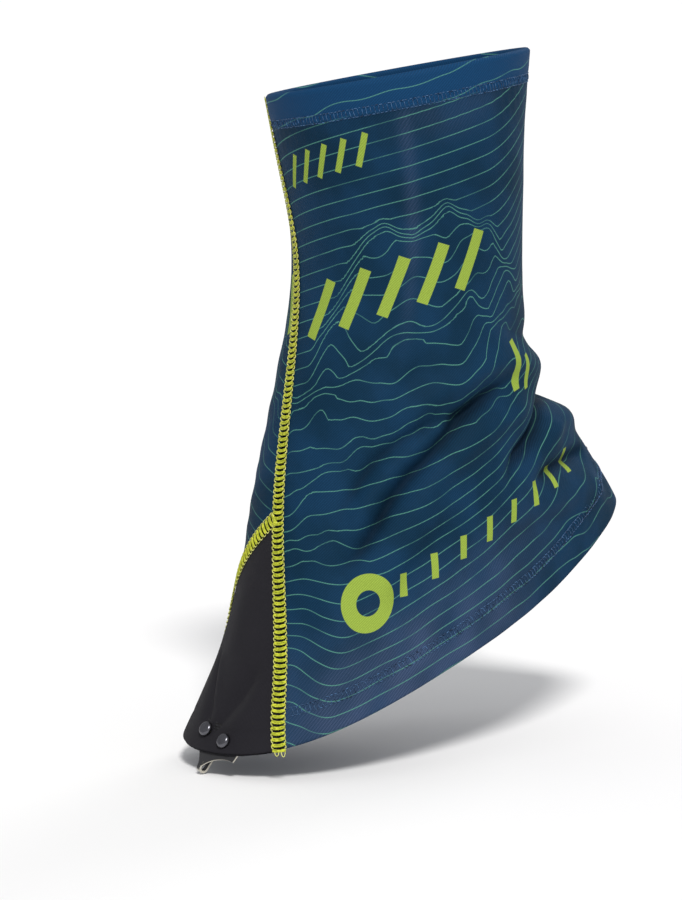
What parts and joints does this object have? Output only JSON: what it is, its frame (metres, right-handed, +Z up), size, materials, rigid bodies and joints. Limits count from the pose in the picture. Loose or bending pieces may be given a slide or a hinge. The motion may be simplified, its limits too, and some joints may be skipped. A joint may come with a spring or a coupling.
{
  "type": "trail gaiter",
  "caption": "Pull-on stretch gaiter for the left leg, worn shape, with a flat-seamed instep gusset and a riveted lace hook.",
  "frame": {"origin": "centre of the ankle, on the axis of the leg", "axes": "+Z up the shin, -Y to the toe, +Y to the heel, +X to the outer side of a left leg"},
  "size_m": [0.0977, 0.1841, 0.2557],
  "materials": {
    "printed_fabric": "stretch knit, printed with thin contour lines, low sheen",
    "hem_fabric": "stretch knit, folded hem",
    "elastic": "woven elastic inside the cuff",
    "hem_thread": "polyester thread",
    "seam_thread": "textured polyester flat-seam thread",
    "gusset_fabric": "matt stretch knit",
    "hook_fastener": "hook side of a touch fastener",
    "webbing": "woven backing tab",
    "hook_metal": "black coated sheet with bare edges",
    "rivet_metal": "dark polished nickel"
  },
  "bodies": {
    "leg": {"main_panel_upper": "printed_fabric", "cuff_fold": "hem_fabric", "cuff_elastic": "elastic", "cuff_stitches": "hem_thread", "front_seam_upper": "seam_thread"},
    "foot": {"main_panel_ankle": "printed_fabric", "front_seam_ankle": "seam_thread", "main_panel_lower": "printed_fabric", "hem_fold": "hem_fabric", "hem_stitches": "hem_thread", "gusset_seam_outer": "seam_thread", "gusset_seam_inner": "seam_thread", "gusset": "gusset_fabric", "heel_patch": "hook_fastener", "heel_patch_stitches": "hem_thread"},
    "hook": {"gusset_flap": "gusset_fabric", "gusset_edge_fold": "gusset_fabric", "hook_tab": "webbing", "lace_hook": "hook_metal", "rivet_caps": "rivet_metal", "rivet_washers": "rivet_metal"}
  },
  "joints": [
    {"name": "ankle_flex", "type": "hinge", "parent": "leg", "child": "foot", "pos_m": [0, 0, 0], "axis": [-1, 0, 0], "range_deg": [-15, 25], "deforming": ["main_panel_ankle", "front_seam_ankle"]},
    {"name": "hook_lift", "type": "hinge", "parent": "foot", "child": "hook", "pos_m": [0.008, -0.0825, -0.047], "axis": [-0.9616, -0.2709, -0.045], "range_deg": [0, 20]}
  ]
}
